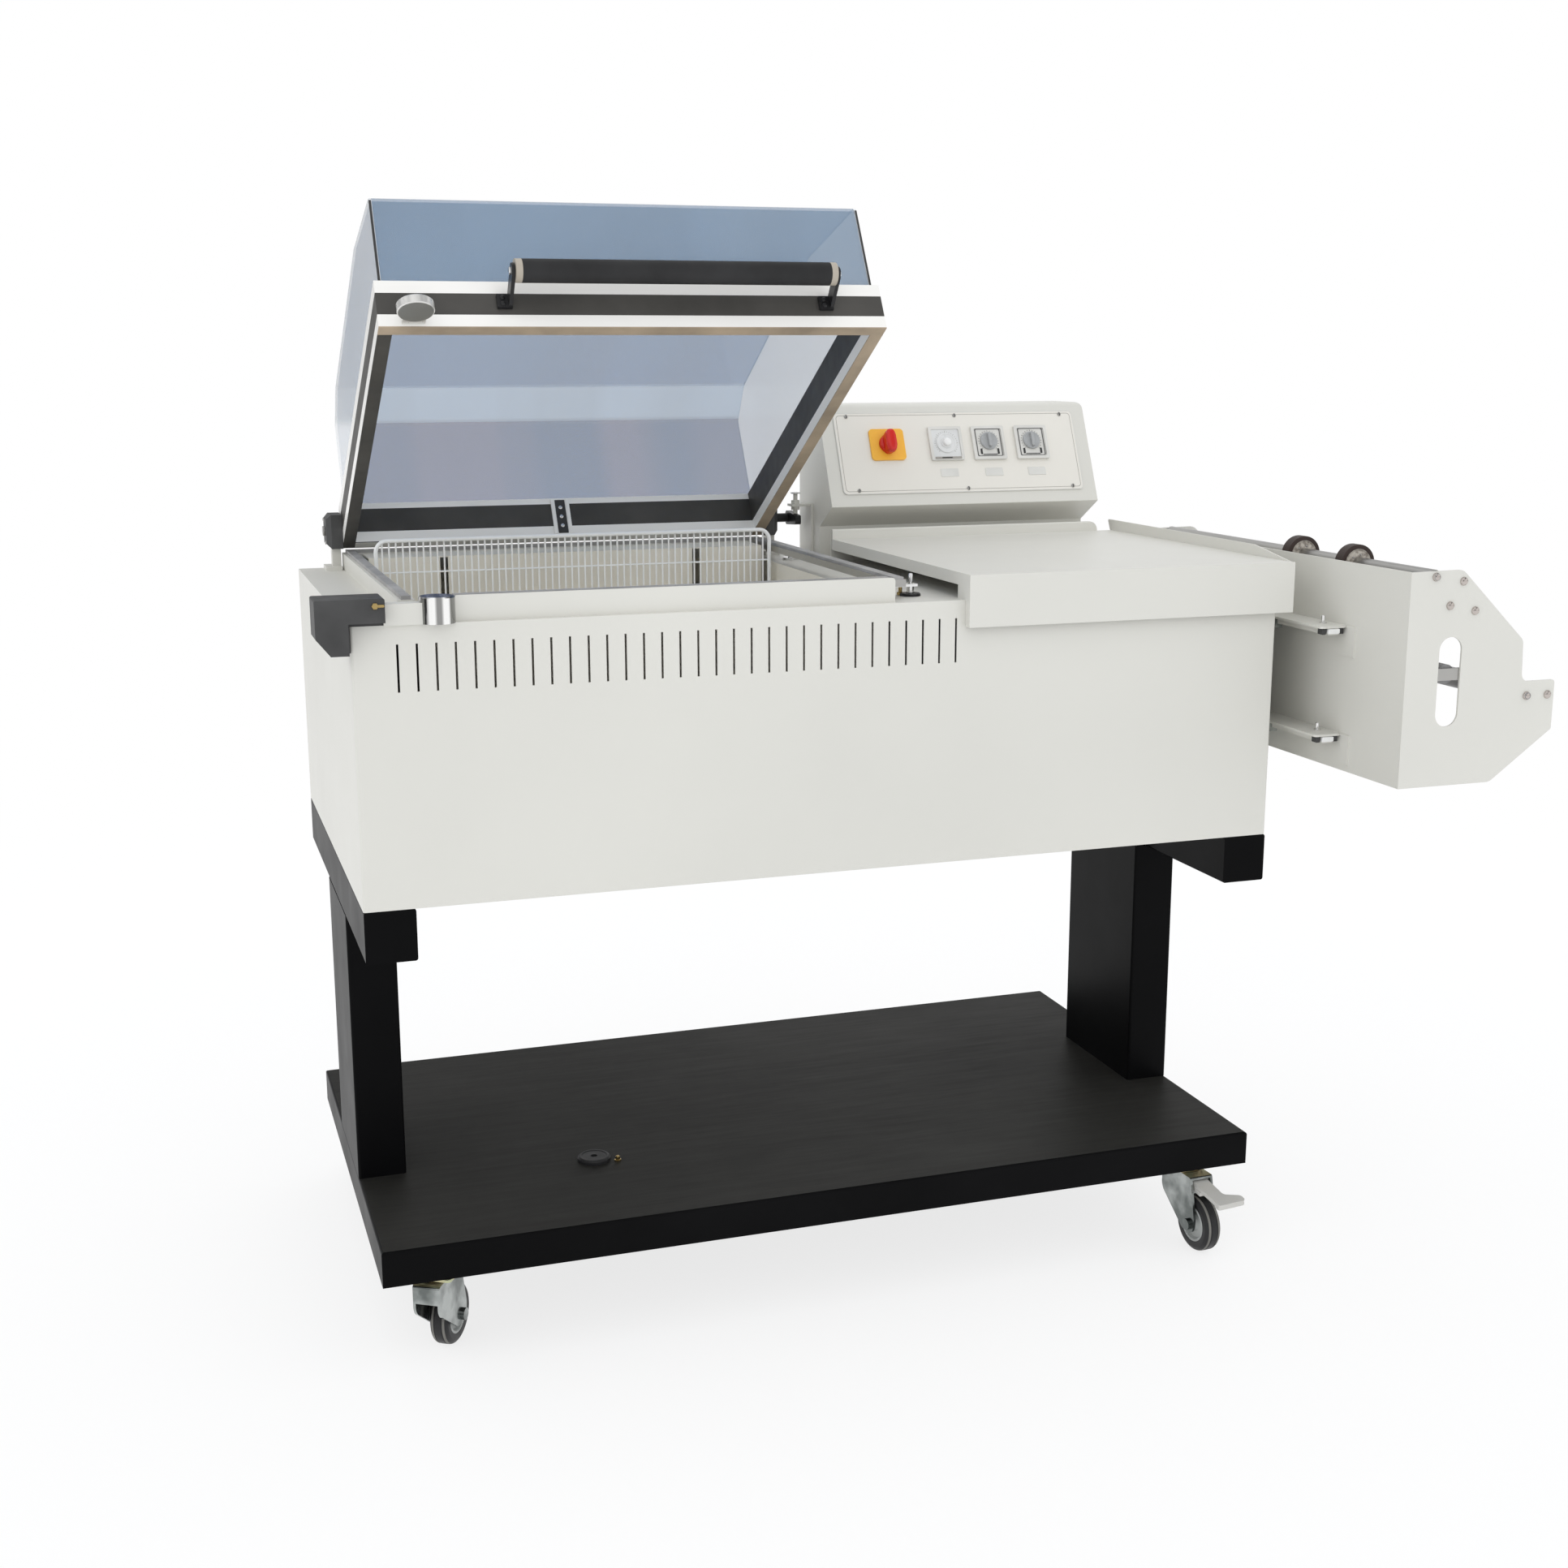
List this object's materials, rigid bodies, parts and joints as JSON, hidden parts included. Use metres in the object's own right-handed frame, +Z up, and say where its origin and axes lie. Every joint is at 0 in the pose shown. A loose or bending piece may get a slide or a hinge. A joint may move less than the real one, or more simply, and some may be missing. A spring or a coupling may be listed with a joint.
{
  "type": "shrink_wrapping_machine",
  "caption": "Chamber shrink wrapping machine on a wheeled stand, with a hinged hood lid, sealing jaws, loading table, control console and film cradle",
  "frame": {"origin": "On the floor, under the middle of the machine's bounding box at rest", "axes": "+X runs along the machine from the sealing chamber to the film cradle, +Y from the operator to the back, +Z up"},
  "size_m": [1.388, 0.7966, 1.2592],
  "materials": {
    "white_paint": "warm white powder coat, satin",
    "black_paint": "black powder coat, satin",
    "panel_sheet": "light panel sheet, satin",
    "aluminium": "extruded bar, satin",
    "black_rubber": "matte rubber",
    "sealing_tape": "tan coated glass cloth",
    "smoked_sheet": "smoked clear sheet, gloss",
    "grip_rubber": "soft black grip",
    "chrome": "bright plate",
    "black_steel": "black finished steel",
    "silicone": "grey silicone",
    "steel_bar": "ground steel",
    "wire": "white coated wire",
    "liner_sheet": "warm grey sheet",
    "zinc": "zinc plated steel",
    "tyre": "black rubber tread on a grey hub",
    "cast_metal": "pale cast metal",
    "yellow_plastic": "yellow plate",
    "red_plastic": "red handle",
    "instrument_plastic": "light grey housings",
    "dial_plastic": "pale dials",
    "copper_core": "laminated core, varnished",
    "motor_case": "grey enamel"
  },
  "bodies": {
    "root": {"base_tray": "black_paint", "post_left": "black_paint", "post_right": "black_paint", "rail_left": "black_paint", "rail_right": "black_paint", "tray_plug": "black_rubber", "caster_plates": "zinc", "cabinet_shell": "white_paint", "cabinet_deck": "white_paint", "cabinet_panels": "white_paint", "chamber_liner": "liner_sheet", "chamber_rim": "white_paint", "chamber_gasket": "silicone", "seal_jaws": "steel_bar", "jaw_posts": "chrome", "guard_grid": "wire", "product_grid": "wire", "heater_tubes": "steel_bar", "fan_motor": "motor_case", "seal_transformer": "copper_core", "hinge_blocks": "black_steel", "hinge_brackets": "zinc", "corner_block": "black_steel", "magnet_arm": "white_paint", "holding_magnet": "chrome", "loading_table": "white_paint", "console_box": "white_paint", "console_panel": "panel_sheet", "switch_plate": "yellow_plastic", "console_instruments": "instrument_plastic", "slide_rails": "zinc"},
    "lid": {"lid_frame": "aluminium", "lid_bands": "black_rubber", "seal_tape": "sealing_tape", "lid_hood": "smoked_sheet", "handle_grip": "grip_rubber", "handle_bar": "chrome", "handle_straps": "black_steel", "armature_disc": "chrome", "hinge_pins": "black_steel"},
    "switch": {"switch_knob": "red_plastic"},
    "temperature_dial": {"temperature_knob": "dial_plastic"},
    "timer_left": {"timer_dial_left": "dial_plastic"},
    "timer_right": {"timer_dial_right": "dial_plastic"},
    "fan": {"fan_impeller": "liner_sheet"},
    "film_unit": {"film_frame": "white_paint", "film_ties": "steel_bar", "film_slides": "white_paint"},
    "perforator_shaft": {"perforator": "steel_bar"},
    "outer_roller": {"roll_roller_outer": "aluminium"},
    "inner_roller": {"roll_roller_inner": "aluminium"},
    "pedal": {"brake_pedal": "cast_metal"},
    "fork_front_left": {"fork_front_left": "zinc"},
    "wheel_front_left": {"wheel_front_left": "tyre"},
    "fork_front_right": {"fork_front_right": "zinc"},
    "wheel_front_right": {"wheel_front_right": "tyre"},
    "fork_rear_left": {"fork_rear_left": "zinc"},
    "wheel_rear_left": {"wheel_rear_left": "tyre"},
    "fork_rear_right": {"fork_rear_right": "zinc"},
    "wheel_rear_right": {"wheel_rear_right": "tyre"}
  },
  "joints": [
    {"name": "lid_hinge", "type": "hinge", "parent": "root", "child": "lid", "pos_m": [-0.323, 0.3277, 0.877], "axis": [1, 0, 0], "range_deg": [0, 30.3]},
    {"name": "switch_turn", "type": "hinge", "parent": "root", "child": "switch", "pos_m": [0.113, 0.24698, 0.9777], "axis": [0, -0.9104, 0.4138], "range_deg": [-90, 0]},
    {"name": "temperature_turn", "type": "hinge", "parent": "root", "child": "temperature_dial", "pos_m": [0.198, 0.24698, 0.9777], "axis": [0, -0.9104, 0.4138], "range_deg": [-270, 0]},
    {"name": "timer_left_turn", "type": "hinge", "parent": "root", "child": "timer_left", "pos_m": [0.261, 0.24781, 0.97952], "axis": [0, -0.9104, 0.4138], "range_deg": [-270, 0]},
    {"name": "timer_right_turn", "type": "hinge", "parent": "root", "child": "timer_right", "pos_m": [0.325, 0.24781, 0.97952], "axis": [0, -0.9104, 0.4138], "range_deg": [-270, 0]},
    {"name": "fan_spin", "type": "hinge", "parent": "root", "child": "fan", "pos_m": [-0.322, 0.0157, 0.653], "axis": [0, 0, 1], "continuous": true},
    {"name": "film_slide", "type": "slide", "parent": "root", "child": "film_unit", "axis": [0, 1, 0], "range_m": [-0.15, 0.05]},
    {"name": "perforator_spin", "type": "hinge", "parent": "film_unit", "child": "perforator_shaft", "pos_m": [0.522, -0.0943, 0.852], "axis": [0, 1, 0], "continuous": true},
    {"name": "outer_roller_spin", "type": "hinge", "parent": "film_unit", "child": "outer_roller", "pos_m": [0.656, -0.0943, 0.71], "axis": [0, 1, 0], "continuous": true},
    {"name": "inner_roller_spin", "type": "hinge", "parent": "film_unit", "child": "inner_roller", "pos_m": [0.548, -0.0943, 0.74], "axis": [0, 1, 0], "continuous": true},
    {"name": "swivel_front_left", "type": "hinge", "parent": "root", "child": "fork_front_left", "pos_m": [-0.5955, -0.2093, 0.093], "axis": [0, 0, 1], "continuous": true},
    {"name": "roll_front_left", "type": "hinge", "parent": "fork_front_left", "child": "wheel_front_left", "pos_m": [-0.57801, -0.18132, 0.035], "axis": [-0.848, 0.5299, 0], "continuous": true},
    {"name": "swivel_front_right", "type": "hinge", "parent": "root", "child": "fork_front_right", "pos_m": [0.3465, -0.2093, 0.093], "axis": [0, 0, 1], "continuous": true},
    {"name": "roll_front_right", "type": "hinge", "parent": "fork_front_right", "child": "wheel_front_right", "pos_m": [0.3488, -0.24222, 0.035], "axis": [0.9976, 0.0698, 0], "continuous": true},
    {"name": "brake_press", "type": "hinge", "parent": "fork_front_right", "child": "pedal", "pos_m": [0.34824, -0.23424, 0.0857], "axis": [0.9976, 0.0698, 0], "range_deg": [0, 10]},
    {"name": "swivel_rear_left", "type": "hinge", "parent": "root", "child": "fork_rear_left", "pos_m": [-0.5955, 0.3077, 0.093], "axis": [0, 0, 1], "continuous": true},
    {"name": "roll_rear_left", "type": "hinge", "parent": "fork_rear_left", "child": "wheel_rear_left", "pos_m": [-0.60786, 0.33829, 0.035], "axis": [-0.9272, -0.3746, 0], "continuous": true},
    {"name": "swivel_rear_right", "type": "hinge", "parent": "root", "child": "fork_rear_right", "pos_m": [0.3465, 0.3077, 0.093], "axis": [0, 0, 1], "continuous": true},
    {"name": "roll_rear_right", "type": "hinge", "parent": "fork_rear_right", "child": "wheel_rear_right", "pos_m": [0.36399, 0.27971, 0.035], "axis": [0.848, 0.5299, 0], "continuous": true}
  ]
}
